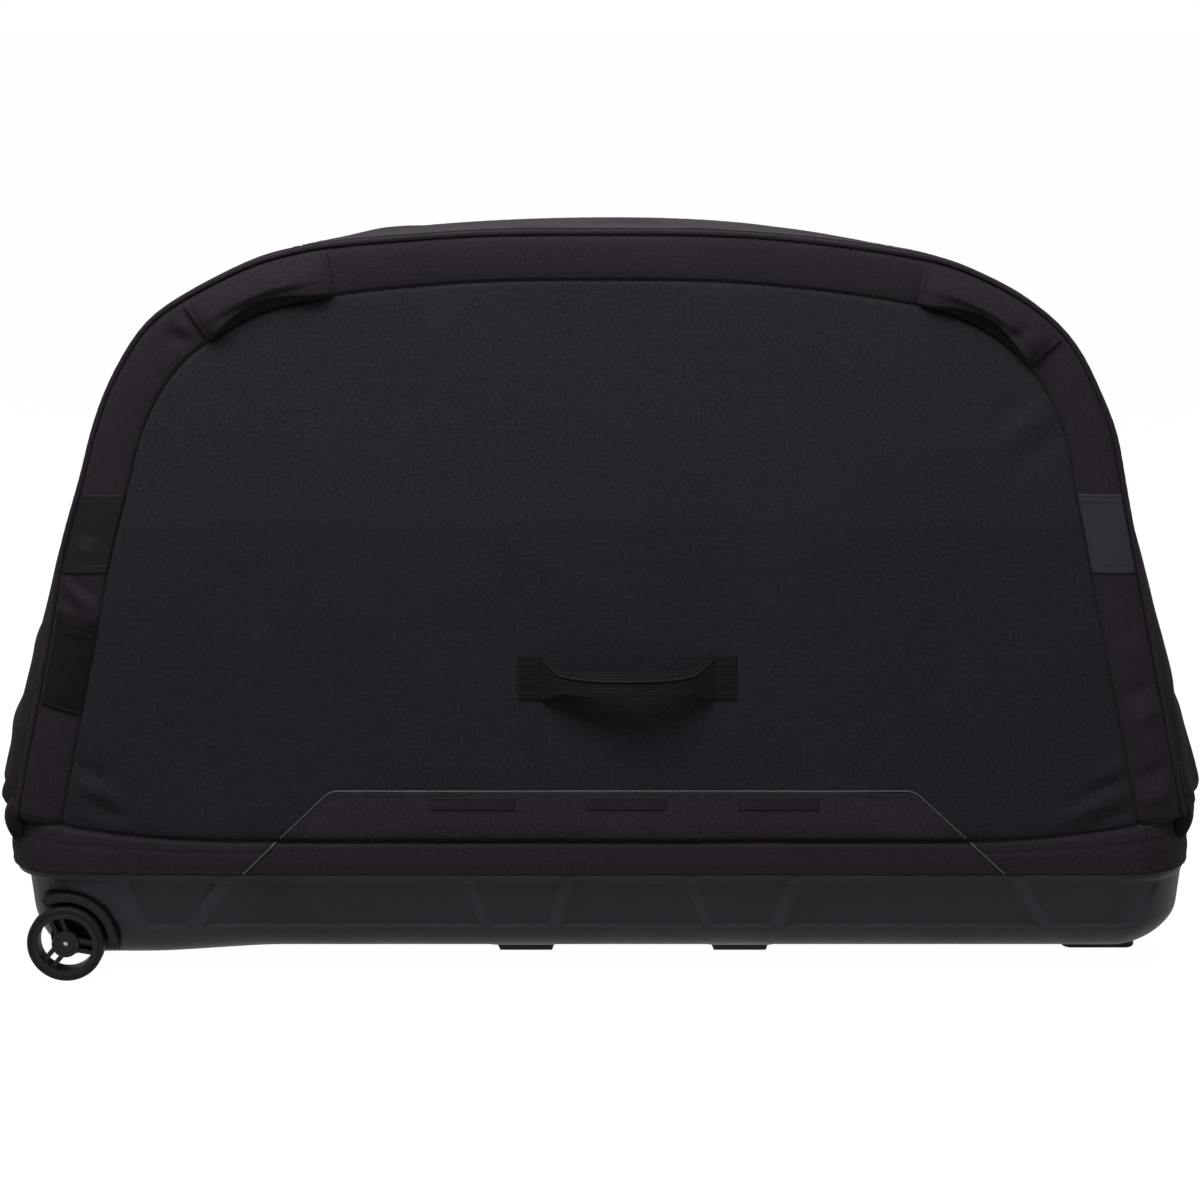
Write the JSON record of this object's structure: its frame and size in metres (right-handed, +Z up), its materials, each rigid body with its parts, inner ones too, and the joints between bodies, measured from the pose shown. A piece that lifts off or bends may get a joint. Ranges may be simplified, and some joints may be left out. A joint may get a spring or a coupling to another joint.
{
  "type": "bike travel case",
  "caption": "Wheeled travel case for a bicycle: arched padded fabric upper with a fold-down zipped cover on a moulded tray with an axle-mount rail.",
  "frame": {"origin": "on the floor under the middle of the case", "axes": "+X along the case to the end with the foot, +Y from the opening cover to the back, +Z up"},
  "size_m": [1.4, 0.399, 0.852],
  "materials": {
    "panel_fabric": "dense woven polyester, matt",
    "border_fabric": "fine woven polyester with a slight sheen",
    "gusset_fabric": "soft woven polyester",
    "coated_fabric": "coated fabric, satin",
    "webbing": "woven webbing",
    "piping_cord": "covered cord, satin",
    "zip_tape": "woven tape with a moulded coil",
    "zip_metal": "black painted metal",
    "stiff_board": "pressed sheet",
    "tray_plastic": "moulded plastic with a fine grain",
    "housing_plastic": "moulded plastic, satin",
    "wheel_plastic": "moulded plastic, satin",
    "tyre_rubber": "smooth rubber",
    "foot_rubber": "matt rubber",
    "foam": "closed-cell foam",
    "rail_metal": "anodised extrusion",
    "steel": "zinc-plated steel",
    "rod_metal": "drawn rod",
    "mount_plastic": "glass-filled plastic",
    "knob_plastic": "moulded plastic"
  },
  "bodies": {
    "case": {"base_tray": "tray_plastic", "lower_skirt": "border_fabric", "fold_strip": "border_fabric", "end_folds": "gusset_fabric", "gusset_left": "gusset_fabric", "gusset_top": "gusset_fabric", "gusset_right": "gusset_fabric", "back_panel": "panel_fabric", "back_border": "border_fabric", "back_piping": "piping_cord", "back_board": "stiff_board", "back_grab_handles": "border_fabric", "back_edge_patches": "coated_fabric", "back_carry_patches": "webbing", "back_carry_legs": "webbing", "stay_rod_front": "rod_metal", "stay_rod_back": "rod_metal", "rod_sockets": "mount_plastic", "zip_tape_gusset": "zip_tape", "mount_rail": "rail_metal", "rail_screws": "steel", "floor_pads": "foam", "wheel_housing_front": "housing_plastic", "wheel_housing_back": "housing_plastic", "housing_screws": "steel", "wheel_axles": "steel", "axle_nuts": "steel", "end_foot": "foot_rubber", "foot_screws": "steel", "pocket_hem": "border_fabric"},
    "cover": {"cover_panel": "panel_fabric", "cover_border": "border_fabric", "cover_piping": "piping_cord", "cover_board": "stiff_board", "zip_tape_cover": "zip_tape", "gear_pocket": "border_fabric", "pocket_piping": "piping_cord", "pocket_tabs": "border_fabric", "grab_handle_left": "border_fabric", "grab_handle_right": "border_fabric", "edge_patches": "coated_fabric", "label_pocket": "border_fabric", "front_carry_patches": "webbing", "front_carry_legs": "webbing"},
    "front_grip": {"front_carry_grip": "webbing"},
    "back_grip": {"back_carry_grip": "webbing"},
    "front_wheel": {"front_tyre": "tyre_rubber", "front_rim": "wheel_plastic", "front_bearings": "steel", "front_hub_cap": "wheel_plastic"},
    "back_wheel": {"back_tyre": "tyre_rubber", "back_rim": "wheel_plastic", "back_bearings": "steel", "back_hub_cap": "wheel_plastic"},
    "slider": {"zip_slider": "zip_metal"},
    "pull": {"zip_pull": "zip_metal"},
    "fork_carriage": {"fork_mount": "mount_plastic"},
    "fork_clamp": {"fork_knob": "knob_plastic"},
    "rear_carriage": {"rear_mount": "mount_plastic"},
    "rear_clamp": {"rear_knob": "knob_plastic"}
  },
  "joints": [
    {"name": "cover_fold", "type": "hinge", "parent": "case", "child": "cover", "pos_m": [0, -0.163, 0.165], "axis": [1, 0, 0], "range_deg": [0, 100], "deforming": ["fold_strip"]},
    {"name": "front_grip_swing", "type": "hinge", "parent": "cover", "child": "front_grip", "pos_m": [0.0305, -0.165, 0.358], "axis": [1, 0, 0], "range_deg": [-50, 50], "deforming": ["front_carry_legs"]},
    {"name": "back_grip_swing", "type": "hinge", "parent": "case", "child": "back_grip", "pos_m": [0.0305, 0.165, 0.358], "axis": [1, 0, 0], "range_deg": [-50, 50], "deforming": ["back_carry_legs"]},
    {"name": "front_wheel_spin", "type": "hinge", "parent": "case", "child": "front_wheel", "pos_m": [-0.611, -0.153, 0.044], "axis": [0, 1, 0], "continuous": true},
    {"name": "back_wheel_spin", "type": "hinge", "parent": "case", "child": "back_wheel", "pos_m": [-0.611, 0.153, 0.044], "axis": [0, 1, 0], "continuous": true},
    {"name": "zip_slide", "type": "slide", "parent": "case", "child": "slider", "axis": [-0.2147, 0, 0.9767], "range_m": [0, 0.35]},
    {"name": "zip_pull_swing", "type": "hinge", "parent": "slider", "child": "pull", "pos_m": [0.65633, -0.1435, 0.25105], "axis": [0, -1, 0], "range_deg": [0, 150]},
    {"name": "fork_slide", "type": "slide", "parent": "case", "child": "fork_carriage", "axis": [1, 0, 0], "range_m": [-0.09, 0.2]},
    {"name": "fork_clamp_turn", "type": "hinge", "parent": "fork_carriage", "child": "fork_clamp", "pos_m": [-0.308, 0, 0.07], "axis": [0, 0, 1], "range_deg": [0, 360]},
    {"name": "rear_slide", "type": "slide", "parent": "case", "child": "rear_carriage", "axis": [1, 0, 0], "range_m": [-0.2, 0.09]},
    {"name": "rear_clamp_turn", "type": "hinge", "parent": "rear_carriage", "child": "rear_clamp", "pos_m": [0.308, 0, 0.07], "axis": [0, 0, 1], "range_deg": [0, 360]}
  ]
}
